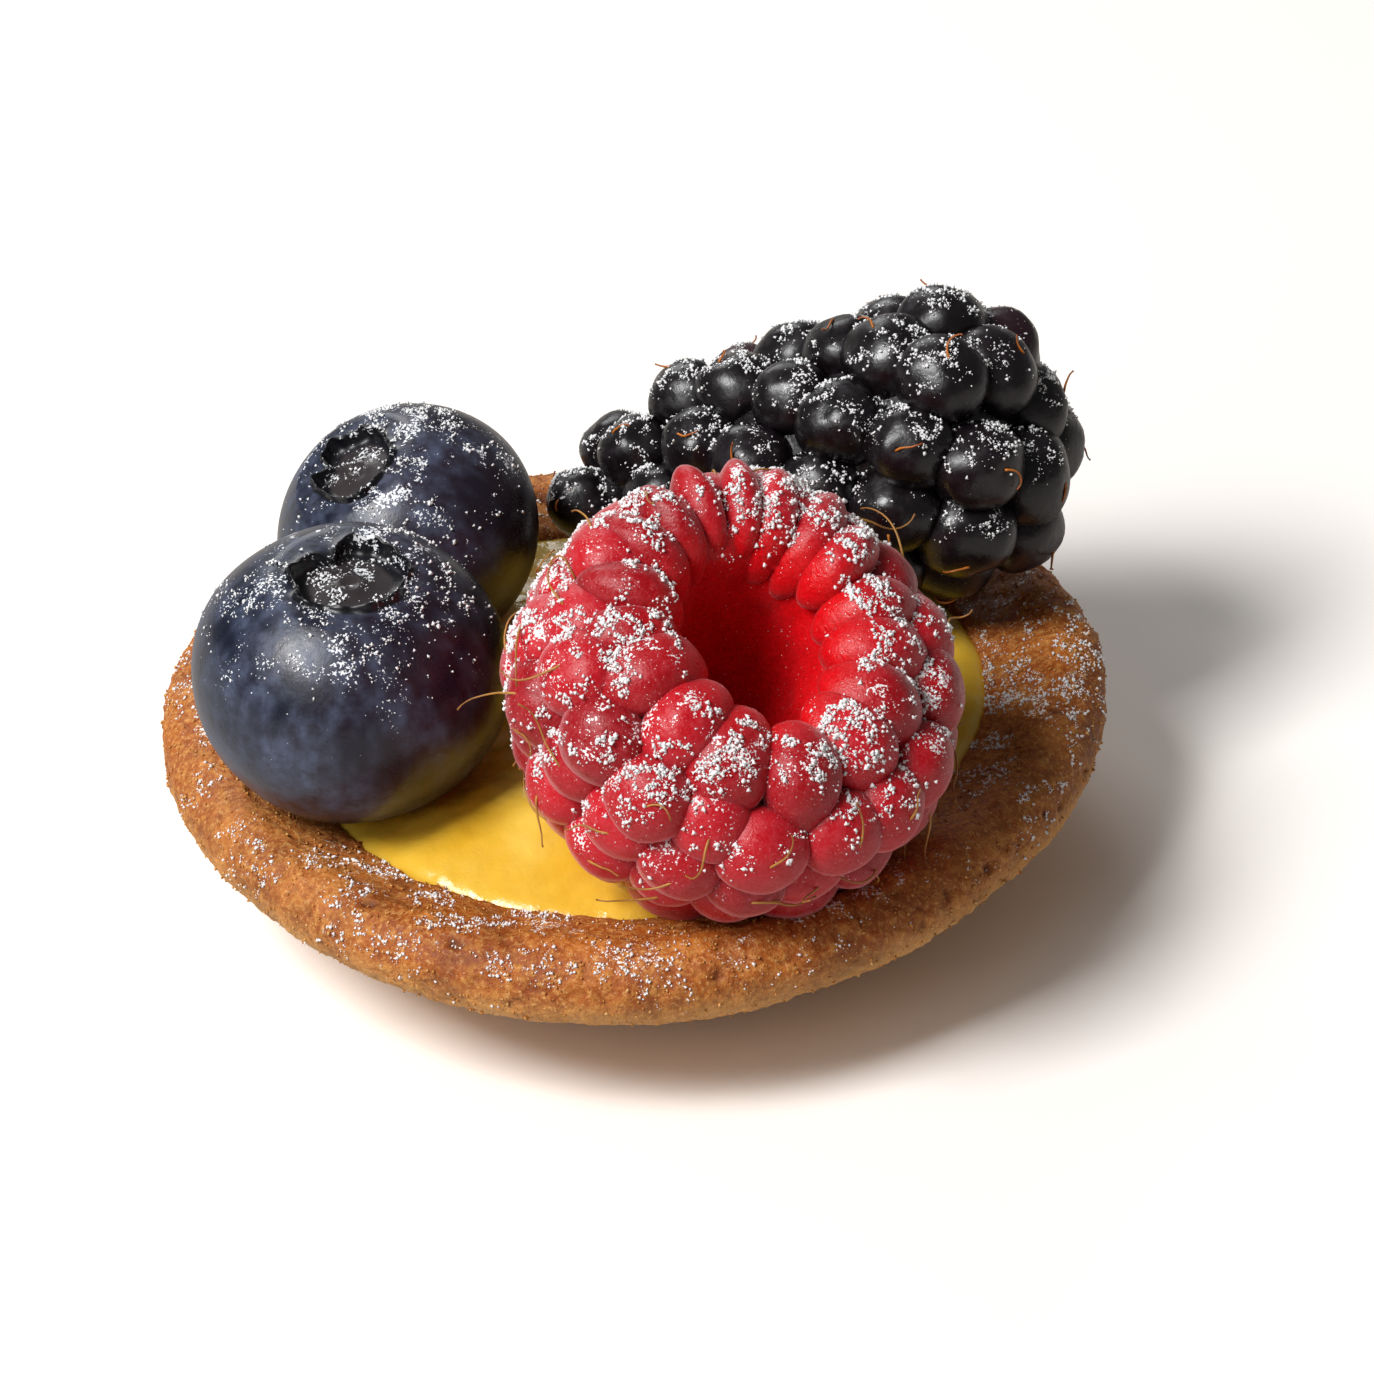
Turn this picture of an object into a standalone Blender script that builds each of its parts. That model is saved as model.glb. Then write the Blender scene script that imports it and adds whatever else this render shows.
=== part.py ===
"""A small berry tart: a shortcrust case filled with custard, with two blueberries, a raspberry and a bramble on top.

Run with: blender --background --python part.py
Sizes are in millimetres up to the MM factor, +Z is up, and the origin is the middle of the flat base.
"""

import math

import bmesh
import bpy
from mathutils import Matrix, Vector

MM = 0.001
GOLDEN_ANGLE = math.pi * (3 - math.sqrt(5))
GAP = 0.3  # clearance between pieces that touch
RESTING_GAP = 0.36  # clearance of soft fruit above the pastry it leans on

# Pastry case: a shallow saucer with a rounded rim.
RIM_RADIUS = 23.0
RIM_ROUNDING = 2.05
RIM_CENTRE_HEIGHT = 7.7
RIM_INNER_DEG, RIM_OUTER_DEG = 115.0, -57.0  # where the rounding meets the inner slope and the wall
BASE_RADIUS = 10.5
WALL_ARC_RADIUS = 67.0
FLOOR_THICKNESS = 3.0
FLOOR_RADIUS = 8.5
INNER_BEND_RADIUS = 14.6
SLOPE_ABOVE, SLOPE_BELOW = 0.31, 1.6  # rise per millimetre outward, above and below the custard's edge
CUSTARD_EDGE = (17.3, 8.7)  # radius and height of the line where custard meets pastry
CASE_STEPS = 60

# Custard: domed, with a dent under each berry.
CUSTARD_RISE = 1.0
CUSTARD_STEPS = 40

# Berries: centre, direction of the top, equatorial radius and half height.
BLUEBERRY_FRONT = {"centre": (-13.4, -5.6, 15.6), "up": (0.06, -0.12, 1.0), "radius": 7.7, "half_height": 6.9}
BLUEBERRY_BACK = {"centre": (-10.75, 8.9, 14.1), "up": (-0.45, -0.15, 0.88), "radius": 6.7, "half_height": 6.1}
CROWN_RADIUS = 0.36  # of the berry's radius
CROWN_LOBES = 5
BLUEBERRY_STEPS = 28

# Raspberry: rings of drupelets round a hollow cup, listed from its mouth down to its tip.
RASPBERRY_CENTRE = (4.7, -13.0, 17.6)
RASPBERRY_UP = (0.33, -0.50, 0.80)
RASPBERRY_RINGS = (  # ring radius, height above the centre, number of drupelets, drupelet radius
    (6.4, 4.9, 17, 1.6),
    (8.6, 3.4, 17, 2.0),
    (9.1, 0.9, 18, 1.95),
    (8.8, -1.7, 17, 1.95),
    (7.7, -4.2, 14, 1.95),
    (5.8, -6.4, 11, 1.85),
    (3.0, -7.7, 6, 1.8),
    (0.1, -8.2, 1, 1.6),
)
HOLLOW = ((0.0, -4.5), (1.7, -4.2), (2.9, -1.8), (3.8, 1.5), (4.6, 4.4), (5.9, 5.6))  # radius, height
HOLLOW_OFFSET = (0.2, 0.7)  # how far the hollow lies off the berry's axis
RIM_FOLD_LENGTH, RIM_FOLD_HEIGHT = 2.75, 1.75  # half sizes of the drupelets folded over the rim
CREST_FRONT = 4.45  # where round the rim those drupelets are broadest, in radians
CREST_SPREAD, CREST_BREADTH, CREST_LIFT = 0.3, 0.26, 0.45

# Bramble: drupelets on a spiral round a solid ovoid that widens from its tip to its stem end.
BRAMBLE_TIP = (-1.2, 13.7, 11.8)
BRAMBLE_END = (17.3, 8.4, 18.2)
BRAMBLE_CORE_RADII = (1.9, 5.5)
BRAMBLE_WIDEST = 0.75  # of the way from the tip's centre to the end's
BRAMBLE_TIP_CAP, BRAMBLE_END_CAP = 1.8, 3.0
BRAMBLE_DRUPELETS = 56
BRAMBLE_DRUPELET_RADII = (1.85, 2.35)

DRUPELET_VOXEL = 0.36
BERRY_TRIANGLES = 2370


def arc(centre, radius, start_deg, end_deg, count):
    """Points (r, z) along a circular arc."""
    points = []
    for step in range(count + 1):
        angle = math.radians(start_deg + (end_deg - start_deg) * step / count)
        points.append((centre[0] + radius * math.cos(angle), centre[1] + radius * math.sin(angle)))
    return points


def arc_between(start, end, radius, count):
    """Points after start, up to end, on the arc of this radius that bulges down and out."""
    a, b = Vector(start), Vector(end)
    half = (b - a).length / 2
    across = Vector((b.y - a.y, a.x - b.x)).normalized()
    if across.y < 0:
        across = -across
    centre = (a + b) / 2 + across * math.sqrt(radius * radius - half * half)
    first = math.atan2(a.y - centre.y, a.x - centre.x)
    last = math.atan2(b.y - centre.y, b.x - centre.x)
    return [
        (
            centre.x + radius * math.cos(first + (last - first) * step / count),
            centre.y + radius * math.sin(first + (last - first) * step / count),
        )
        for step in range(1, count + 1)
    ]


def bezier(start, control, end, count):
    """Points along a quadratic curve, with both ends."""
    points = []
    for step in range(count + 1):
        t = step / count
        points.append(
            tuple((1 - t) ** 2 * a + 2 * t * (1 - t) * c + t * t * b for a, c, b in zip(start, control, end))
        )
    return points


def hand_pressed(angle):
    """How far the case departs from round at this angle: pastry pressed into its tin by hand."""
    return 1 + 0.015 * math.cos(2 * angle) + 0.026 * math.cos(3 * (angle - 0.5))


def material(name, colour, roughness):
    made = bpy.data.materials.new(name)
    made.use_nodes = True
    shader = made.node_tree.nodes["Principled BSDF"]
    shader.inputs["Base Color"].default_value = (*colour, 1)
    shader.inputs["Roughness"].default_value = roughness
    shader.inputs["Metallic"].default_value = 0
    return made


def add(name, mesh, collection, finish=None):
    obj = bpy.data.objects.new(name, mesh)
    collection.objects.link(obj)
    if finish:
        mesh.materials.append(finish)
    return obj


def evaluated_mesh(obj):
    """The object's mesh with its modifiers applied."""
    graph = bpy.context.evaluated_depsgraph_get()
    graph.update()
    return bpy.data.meshes.new_from_object(obj.evaluated_get(graph))


def bake_modifiers(obj):
    """Replaces the object's mesh with its evaluated one, and clears its modifiers."""
    mesh = evaluated_mesh(obj)
    obj.modifiers.clear()
    obj.data = mesh
    return obj


def turned(name, profile, steps, collection, finish):
    """A solid of revolution about Z from a profile (r, z) that runs down its outer side."""
    mesh = bpy.data.meshes.new(name)
    points = [(r * MM, 0, z * MM) for r, z in profile]
    mesh.from_pydata(points, [(i, i + 1) for i in range(len(points) - 1)], [])
    obj = add(name, mesh, collection, finish)
    screw = obj.modifiers.new("turn", "SCREW")
    screw.steps = screw.render_steps = steps
    screw.use_merge_vertices = True
    screw.merge_threshold = 0.00001
    return bake_modifiers(obj)


def press_by_hand(obj):
    for vertex in obj.data.vertices:
        factor = hand_pressed(math.atan2(vertex.co.y, vertex.co.x))
        vertex.co.x *= factor
        vertex.co.y *= factor


def frame_at(centre, up):
    """A matrix that puts local Z along up and the origin at centre, both given in millimetres."""
    turn = Vector(up).normalized().to_track_quat("Z", "Y").to_matrix().to_4x4()
    return Matrix.Translation(Vector(centre) * MM) @ turn


def inner_wall(clearance=0.0):
    """The case's inside, from the middle of its floor to the custard's edge."""
    floor = (FLOOR_RADIUS, FLOOR_THICKNESS + clearance)
    edge = (CUSTARD_EDGE[0] - clearance, CUSTARD_EDGE[1])
    corner = (INNER_BEND_RADIUS - clearance, FLOOR_THICKNESS + 1.0 + clearance)
    return [(0, floor[1])] + bezier(floor, corner, edge, 5)


def make_case(collection, finish):
    nose = (RIM_RADIUS - RIM_ROUNDING, RIM_CENTRE_HEIGHT)
    rim = arc(nose, RIM_ROUNDING, RIM_INNER_DEG, RIM_OUTER_DEG, 9)
    wall = arc_between(rim[-1], (BASE_RADIUS, 0), WALL_ARC_RADIUS, 3)
    case = turned("pastry_case", inner_wall() + rim + wall + [(0, 0)], CASE_STEPS, collection, finish)
    press_by_hand(case)
    return case


def make_custard(collection, finish, berries):
    edge = (CUSTARD_EDGE[0] - GAP, CUSTARD_EDGE[1])
    top = []
    for step in range(7):
        r = edge[0] * step / 6
        top.append((r, edge[1] + CUSTARD_RISE * (1 - (r / edge[0]) ** 2)))
    underside = list(reversed(inner_wall(GAP)))[1:]
    custard = turned("custard", top + underside, CUSTARD_STEPS, collection, finish)
    press_by_hand(custard)
    for cutter in berries:
        dent = custard.modifiers.new("dent", "BOOLEAN")
        dent.operation = "DIFFERENCE"
        dent.object = cutter
    return custard


def blueberry_profile(radius, half_height):
    """Half section from the middle of the crown's hollow, over its rim and down to the bottom."""
    crown = CROWN_RADIUS * radius
    rim_height = half_height * math.sqrt(1 - CROWN_RADIUS**2)
    points = [(0, rim_height - 1.0), (crown * 0.75, rim_height - 0.9), (crown, rim_height + 0.35)]
    first = math.acos(min(1, (crown + 0.5) / radius))
    for step in range(13):
        angle = first + (-math.pi / 2 - first) * step / 12
        points.append((radius * math.cos(angle), half_height * math.sin(angle)))
    points[-1] = (0, -half_height)
    return points


def make_blueberry(name, size, collection, finish):
    berry = turned(name, blueberry_profile(size["radius"], size["half_height"]), BLUEBERRY_STEPS, collection, finish)
    crown = CROWN_RADIUS * size["radius"] * MM
    for vertex in berry.data.vertices:
        r = math.hypot(vertex.co.x, vertex.co.y)
        if vertex.co.z > 0 and abs(r - crown) < 0.1 * MM:
            lobe = math.cos(CROWN_LOBES * math.atan2(vertex.co.y, vertex.co.x))
            vertex.co.z += 0.25 * lobe * MM
            vertex.co.x *= 1 + 0.06 * lobe
            vertex.co.y *= 1 + 0.06 * lobe
    berry.matrix_world = frame_at(size["centre"], size["up"])
    return berry


def add_drupelet(bm, centre, outward, toward, size):
    """A faceted ovoid, size = its half widths toward one way along the surface, across it and outward."""
    z = Vector(outward).normalized()
    x = (Vector(toward) - z * z.dot(toward)).normalized()
    turn = Matrix((x, z.cross(x), z)).transposed().to_4x4()
    scale = Matrix.Diagonal((*(s * MM for s in size), 1))
    place = Matrix.Translation(Vector(centre) * MM) @ turn @ scale
    bmesh.ops.create_icosphere(bm, subdivisions=2, radius=1, matrix=place)


def add_turned_core(bm, profile, steps):
    """The solid inside the drupelets, spun about Z from its profile (r, z)."""
    ring = [bm.verts.new((r * MM, 0, z * MM)) for r, z in profile]
    edges = [bm.edges.new(pair) for pair in zip(ring, ring[1:])]
    bmesh.ops.spin(
        bm, geom=ring + edges, cent=(0, 0, 0), axis=(0, 0, 1), angle=math.tau, steps=steps, use_merge=True
    )
    bmesh.ops.remove_doubles(bm, verts=bm.verts[:], dist=0.00001)
    bmesh.ops.recalc_face_normals(bm, faces=bm.faces[:])


def grown_together(name, bm, place, collection, finish):
    """Joins the core and its drupelets into one skin, then thins out its triangles."""
    mesh = bpy.data.meshes.new(name)
    bm.to_mesh(mesh)
    bm.free()
    obj = add(name, mesh, collection, finish)
    obj.matrix_world = place
    skin = obj.modifiers.new("skin", "REMESH")
    skin.mode = "VOXEL"
    skin.voxel_size = DRUPELET_VOXEL * MM
    bake_modifiers(obj)
    lean_on_rim(obj)
    fine = sum(len(face.vertices) - 2 for face in obj.data.polygons)
    thin = obj.modifiers.new("thin", "DECIMATE")
    thin.ratio = BERRY_TRIANGLES / fine
    return obj


def slope_height(radius):
    """Height of the case's inner slope at a radius: gentle above the custard's edge, steep below it."""
    beyond = radius - CUSTARD_EDGE[0]
    return CUSTARD_EDGE[1] + beyond * (SLOPE_ABOVE if beyond > 0 else SLOPE_BELOW)


def lean_on_rim(obj):
    """Flattens soft fruit where it would sink into the case's rim, leaving the gap between them."""
    clear = RIM_ROUNDING + RESTING_GAP
    to_local = obj.matrix_world.inverted()
    for vertex in obj.data.vertices:
        point = obj.matrix_world @ vertex.co / MM
        angle = math.atan2(point.y, point.x)
        factor = hand_pressed(angle)
        radius, height = math.hypot(point.x, point.y) / factor, point.z
        out, rise = radius - (RIM_RADIUS - RIM_ROUNDING), height - RIM_CENTRE_HEIGHT
        reach = math.hypot(out, rise)
        if out < 0:
            height = max(height, slope_height(radius) + RESTING_GAP)
        if reach < clear and height < RIM_CENTRE_HEIGHT + rise * clear / reach:
            radius = RIM_RADIUS - RIM_ROUNDING + out * clear / reach
            height = RIM_CENTRE_HEIGHT + rise * clear / reach
        pressed = Vector((radius * factor * math.cos(angle), radius * factor * math.sin(angle), height))
        vertex.co = to_local @ (pressed * MM)


def add_rim_drupelet(bm, place):
    """A drupelet folded over the rim of the hollow: broad at the front, narrow at the back."""
    radius, height, count, size = RASPBERRY_RINGS[0]
    even = math.tau * place / count
    front = math.cos(even - CREST_FRONT)
    angle = even + CREST_SPREAD * math.sin(even - CREST_FRONT)
    spoke = Vector((math.cos(angle), math.sin(angle), 0))
    drawn = radius * (1 + 0.06 * math.cos(2 * (angle - CREST_FRONT)))
    centre = spoke * drawn + Vector((*HOLLOW_OFFSET, height + CREST_LIFT * front))
    outward = spoke * (0.4 * front - 0.05) + Vector((0, 0, 1))
    half_sizes = (RIM_FOLD_LENGTH, size * (1 + CREST_BREADTH * front), RIM_FOLD_HEIGHT)
    add_drupelet(bm, centre, outward, spoke, half_sizes)


def shift_hollow(bm):
    """Moves the core's hollow off the berry's axis."""
    widest, floor = HOLLOW[-1][0] + GAP, HOLLOW[0][1] - GAP
    for vertex in bm.verts:
        if vertex.co.z > floor * MM and math.hypot(vertex.co.x, vertex.co.y) < widest * MM:
            vertex.co.x += HOLLOW_OFFSET[0] * MM
            vertex.co.y += HOLLOW_OFFSET[1] * MM


def make_raspberry(collection, finish):
    bm = bmesh.new()
    outside = [(0.93 * radius, height) for radius, height, _, _ in RASPBERRY_RINGS[1:-1]]
    add_turned_core(bm, [*HOLLOW, *outside, (0, RASPBERRY_RINGS[-1][1])], 36)
    shift_hollow(bm)
    for place in range(RASPBERRY_RINGS[0][2]):
        add_rim_drupelet(bm, place)
    for row, (radius, height, count, size) in enumerate(RASPBERRY_RINGS[1:], start=1):
        for place in range(count):
            angle = math.tau * (place + 0.5 * (row % 2)) / count
            centre = (radius * math.cos(angle), radius * math.sin(angle), height)
            outward = (centre[0], centre[1], 1.15 * height + 2.2)
            add_drupelet(bm, centre, outward, (0, 0.01, -1), (1.1 * size, 1.15 * size, 0.88 * size))
    return grown_together("raspberry", bm, frame_at(RASPBERRY_CENTRE, RASPBERRY_UP), collection, finish)


def bramble_core_radius(along, length):
    """Radius to the drupelets' centres at a distance from the tip's centre."""
    narrow, wide = BRAMBLE_CORE_RADII
    if along < 0:
        return narrow * math.sqrt(max(0, 1 - (along / BRAMBLE_TIP_CAP) ** 2))
    if along > length:
        return wide * math.sqrt(max(0, 1 - ((along - length) / BRAMBLE_END_CAP) ** 2))
    share = min(1, along / length / BRAMBLE_WIDEST)
    return narrow + (wide - narrow) * math.sin(share * math.pi / 2) ** 0.85


def spiral_places(radius_at, low, high, count):
    """Evenly spread places (distance along, angle) on a body of revolution, along the golden spiral."""
    slices = 400
    area = [0.0]
    step = (high - low) / slices
    for i in range(slices):
        here, there = radius_at(low + i * step), radius_at(low + (i + 1) * step)
        area.append(area[-1] + (here + there) / 2 * math.hypot(step, there - here))
    places = []
    i = 0
    for number in range(count):
        wanted = area[-1] * (number + 0.5) / count
        while area[i + 1] < wanted:
            i += 1
        along = low + (i + (wanted - area[i]) / (area[i + 1] - area[i])) * step
        places.append((along, number * GOLDEN_ANGLE))
    return places


def make_bramble(collection, finish):
    tip, end = Vector(BRAMBLE_TIP), Vector(BRAMBLE_END)
    length = (end - tip).length
    low, high = -BRAMBLE_TIP_CAP, length + BRAMBLE_END_CAP

    def radius_at(along):
        return bramble_core_radius(along, length)

    bm = bmesh.new()
    ends = [high - (high - low) * (0.5 - 0.5 * math.cos(math.pi * i / 16)) for i in range(17)]
    add_turned_core(bm, [(radius_at(along), along) for along in ends], 24)
    small, large = BRAMBLE_DRUPELET_RADII
    for along, angle in spiral_places(radius_at, low, high, BRAMBLE_DRUPELETS):
        radius = radius_at(along)
        share = min(1, max(0, along / length))
        size = small + (large - small) * share
        slope = (radius_at(along + 0.2) - radius_at(along - 0.2)) / 0.4
        outward = (math.cos(angle), math.sin(angle), -max(-3, min(3, slope)))
        centre = (radius * math.cos(angle), radius * math.sin(angle), along)
        add_drupelet(bm, centre, outward, (0.1, 0.1, -1), (size, size, size))
    return grown_together("bramble", bm, frame_at(BRAMBLE_TIP, end - tip), collection, finish)


def dent_cutter(name, centre, up, radii, collection):
    """An ovoid a gap larger than the berry, which shapes the custard under it."""
    mesh = bpy.data.meshes.new(name)
    bm = bmesh.new()
    bmesh.ops.create_uvsphere(bm, u_segments=24, v_segments=14, radius=1)
    bmesh.ops.scale(bm, vec=[(r + GAP) * MM for r in radii], verts=bm.verts[:])
    bm.to_mesh(mesh)
    bm.free()
    cutter = add(name, mesh, collection)
    cutter.matrix_world = frame_at(centre, up)
    cutter.hide_render = True
    cutter.display_type = "WIRE"
    return cutter


def make_dent_cutters(collection):
    cutters = []
    for name, size in (("front", BLUEBERRY_FRONT), ("back", BLUEBERRY_BACK)):
        radii = (size["radius"], size["radius"], size["half_height"])
        cutters.append(dent_cutter(f"dent_{name}", size["centre"], size["up"], radii, collection))
    wide = max(ring[0] + ring[3] for ring in RASPBERRY_RINGS)
    tall = -(RASPBERRY_RINGS[-1][1] - RASPBERRY_RINGS[-1][3])
    cutters.append(
        dent_cutter("dent_raspberry", RASPBERRY_CENTRE, RASPBERRY_UP, (wide, wide, tall), collection)
    )
    tip, end = Vector(BRAMBLE_TIP), Vector(BRAMBLE_END)
    reach = BRAMBLE_CORE_RADII[1] + BRAMBLE_DRUPELET_RADII[1]
    half = (end - tip).length / 2 + BRAMBLE_END_CAP + BRAMBLE_DRUPELET_RADII[0]
    middle = (tip + end) / 2
    cutters.append(dent_cutter("dent_bramble", middle, end - tip, (reach, reach, half), collection))
    return cutters


for old in list(bpy.data.objects):
    bpy.data.objects.remove(old)
tart = bpy.data.collections.new("berry_tart")
cutters = bpy.data.collections.new("cutters")
for group in (tart, cutters):
    bpy.context.scene.collection.children.link(group)

pastry = material("baked_shortcrust", (0.55, 0.27, 0.08), 0.75)
cream = material("custard", (0.90, 0.60, 0.05), 0.3)
bloom = material("blueberry_skin", (0.03, 0.04, 0.09), 0.5)
red = material("raspberry_flesh", (0.50, 0.02, 0.04), 0.4)
black = material("bramble_flesh", (0.015, 0.01, 0.015), 0.25)

make_case(tart, pastry)
make_custard(tart, cream, make_dent_cutters(cutters))
make_blueberry("blueberry_front", BLUEBERRY_FRONT, tart, bloom)
make_blueberry("blueberry_back", BLUEBERRY_BACK, tart, bloom)
make_raspberry(tart, red)
make_bramble(tart, black)
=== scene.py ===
import math

import bpy
import numpy as np
from mathutils import Matrix, Vector, noise
from mathutils.bvhtree import BVHTree


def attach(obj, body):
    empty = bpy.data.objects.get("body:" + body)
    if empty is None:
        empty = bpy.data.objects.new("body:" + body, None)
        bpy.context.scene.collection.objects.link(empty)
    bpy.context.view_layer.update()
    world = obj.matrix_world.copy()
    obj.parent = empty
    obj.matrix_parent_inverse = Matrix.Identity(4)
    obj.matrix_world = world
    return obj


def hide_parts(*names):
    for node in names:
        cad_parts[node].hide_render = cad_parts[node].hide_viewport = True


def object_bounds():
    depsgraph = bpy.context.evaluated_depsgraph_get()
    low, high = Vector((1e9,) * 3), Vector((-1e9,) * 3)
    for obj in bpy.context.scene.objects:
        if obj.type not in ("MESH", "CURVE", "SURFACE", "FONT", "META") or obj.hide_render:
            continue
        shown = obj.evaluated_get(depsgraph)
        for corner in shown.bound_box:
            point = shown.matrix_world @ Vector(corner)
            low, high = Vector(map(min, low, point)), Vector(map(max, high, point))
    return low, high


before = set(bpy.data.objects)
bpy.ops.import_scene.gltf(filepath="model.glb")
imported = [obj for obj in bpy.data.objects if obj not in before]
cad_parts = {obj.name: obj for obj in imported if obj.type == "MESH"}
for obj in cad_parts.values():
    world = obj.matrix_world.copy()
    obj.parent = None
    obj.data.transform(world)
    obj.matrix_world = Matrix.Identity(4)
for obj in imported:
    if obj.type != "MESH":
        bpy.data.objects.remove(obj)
cad_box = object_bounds()


# ---------------------------------------------------------------- pastry case
# A shallow case of shortcrust: flour, butter and sugar pressed by hand into a round tin and baked.
# It is grainy and golden, darker on the rim and the inner slope, paler and drier on its underside.

MM = 0.001
RIM_RADIUS = 23.0
RIM_ROUNDING = 2.05
RIM_CENTRE_HEIGHT = 7.7
RIM_INNER_DEG, RIM_OUTER_DEG = 115.0, -57.0
BASE_RADIUS = 10.5
WALL_ARC_RADIUS = 67.0
FLOOR_RADIUS, FLOOR_HEIGHT = 8.5, 3.0
CUSTARD_EDGE = (17.3, 8.7)
CASE_COLUMNS = 640
RIM_ROW = 30  # a row of the case's profile that lies on its rim


def hand_pressed(angle):
    """How far the case departs from round at this angle."""
    return 1 + 0.015 * np.cos(2 * angle) + 0.026 * np.cos(3 * (angle - 0.5))


def arc(centre, radius, start_deg, end_deg, count):
    angles = np.radians(np.linspace(start_deg, end_deg, count + 1))
    return np.c_[centre[0] + radius * np.cos(angles), centre[1] + radius * np.sin(angles)]


def bezier(start, control, end, count):
    t = np.linspace(0, 1, count + 1)[:, None]
    return (1 - t) ** 2 * np.array(start) + 2 * t * (1 - t) * np.array(control) + t * t * np.array(end)


def sagging_wall(start, end, radius, count):
    """The arc from start down to end that bulges down and out."""
    a, b = np.array(start), np.array(end)
    half = np.linalg.norm(b - a) / 2
    across = np.array([b[1] - a[1], a[0] - b[0]])
    across = across / np.linalg.norm(across) * (1 if across[1] > 0 else -1)
    centre = (a + b) / 2 + across * math.sqrt(radius**2 - half**2)
    first = math.degrees(math.atan2(a[1] - centre[1], a[0] - centre[0]))
    last = math.degrees(math.atan2(b[1] - centre[1], b[0] - centre[0]))
    return arc(centre, radius, first, last, count)


def grid_faces(rows, columns):
    """Quads over a grid of points, row by row, joined up round each row."""
    faces = []
    for row in range(rows - 1):
        for column in range(columns):
            there = (column + 1) % columns
            low, high = row * columns, (row + 1) * columns
            faces.append((low + column, high + column, high + there, low + there))
    return faces


def new_piece(name, points_mm, faces):
    """An object from points in millimetres."""
    mesh = bpy.data.meshes.new(name)
    mesh.from_pydata((np.asarray(points_mm) * MM).tolist(), [], faces)
    mesh.validate()
    mesh.update()
    mesh.shade_smooth()
    obj = bpy.data.objects.new(name, mesh)
    bpy.context.scene.collection.objects.link(obj)
    return obj


def paint(obj, name, values):
    """Stores one number per point, for the material to read."""
    layer = obj.data.attributes.new(name, "FLOAT", "POINT")
    layer.data.foreach_set("value", np.asarray(values, dtype=np.float32))


def grid_normals(points):
    """Normals of a grid of points (rows, columns, 3) that closes round its rows."""
    along = np.gradient(points, axis=0)
    around = np.roll(points, -1, axis=1) - np.roll(points, 1, axis=1)
    normals = np.cross(along, around)
    return normals / np.maximum(np.linalg.norm(normals, axis=2, keepdims=True), 1e-9)


def crumbly_relief(point):
    """Height of the baked surface above the pressed shape, in millimetres: waves, grains and pits."""
    p = Vector(point)
    waves = noise.noise(p / 5.0) * 0.20 + noise.noise(p / 1.7 + Vector((9, 2, 5))) * 0.11
    lumps = noise.noise(p / 0.8 + Vector((3, 7, 1))) * 0.09
    grain = 0.13 * (0.42 - noise.voronoi(p / 0.55)[0][0]) + noise.noise(p / 0.33) * 0.05
    pit = min(0, noise.noise(p / 1.0 + Vector((21, 4, 8))) + 0.50) * 1.4
    return waves + lumps + grain + pit


def srgb(code):
    """A linear RGBA colour from an sRGB hex value."""
    parts = [int(code[i : i + 2], 16) / 255 for i in (1, 3, 5)]
    return (*(c / 12.92 if c <= 0.04045 else ((c + 0.055) / 1.055) ** 2.4 for c in parts), 1)


def new_material(name):
    """A material with only a Principled shader and an output; returns it, its tree and the shader."""
    made = bpy.data.materials.new(name)
    made.use_nodes = True
    tree = made.node_tree
    return made, tree, tree.nodes["Principled BSDF"]


def node(tree, kind, settings=None, inputs=None, links=None):
    """Adds a node, sets its properties and input values, and links other nodes' outputs to its inputs."""
    made = tree.nodes.new("ShaderNode" + kind)
    for key, value in (settings or {}).items():
        setattr(made, key, value)
    for key, value in (inputs or {}).items():
        made.inputs[key].default_value = value
    for key, source in (links or {}).items():
        tree.links.new(source, made.inputs[key])
    return made


def stored(tree, name):
    """The number painted on each point under this name."""
    return node(tree, "Attribute", {"attribute_name": name}).outputs["Fac"]


def bumped(tree, height, strength, distance, under=None):
    """The normal of a bump, laid over another bump's normal if one is given."""
    links = {"Height": height}
    if under is not None:
        links["Normal"] = under
    made = node(tree, "Bump", inputs={"Strength": strength, "Distance": distance}, links=links)
    return made.outputs["Normal"]


def let_light_in(shader, weight, radius, depth):
    """Light passes under the surface: its share, how far each colour goes, and how deep in metres."""
    shader.inputs["Subsurface Weight"].default_value = weight
    shader.inputs["Subsurface Radius"].default_value = radius
    shader.inputs["Subsurface Scale"].default_value = depth


def ramp(tree, source, stops):
    """A colour ramp over (position, hex colour) stops; returns its colour output."""
    made = node(tree, "ValToRGB", links={"Fac": source})
    band = made.color_ramp
    while len(band.elements) < len(stops):
        band.elements.new(0.5)
    for element, (position, code) in zip(band.elements, stops):
        element.position = position
        element.color = srgb(code)
    return made.outputs["Color"]


def mixed(tree, factor, first, second):
    """Mixes two colours, each an output or a hex value, by a factor that is a number or an output."""
    made = node(tree, "Mix", {"data_type": "RGBA"})
    for key, value in ((0, factor), (6, first), (7, second)):
        if isinstance(value, bpy.types.NodeSocket):
            tree.links.new(value, made.inputs[key])
        else:
            made.inputs[key].default_value = srgb(value) if isinstance(value, str) else value
    return made.outputs[2]


def noise_at(tree, size_mm, detail=3.0, roughness=0.55, shift=0.0):
    """Noise whose features are about this many millimetres across, fixed to the object."""
    place = node(tree, "TexCoord").outputs["Object"]
    moved = node(tree, "Mapping", inputs={"Location": (shift, shift * 0.7, -shift)}, links={"Vector": place})
    made = node(
        tree,
        "TexNoise",
        inputs={"Scale": 1000 / size_mm, "Detail": detail, "Roughness": roughness},
        links={"Vector": moved.outputs["Vector"]},
    )
    return made.outputs["Fac"]


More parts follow.
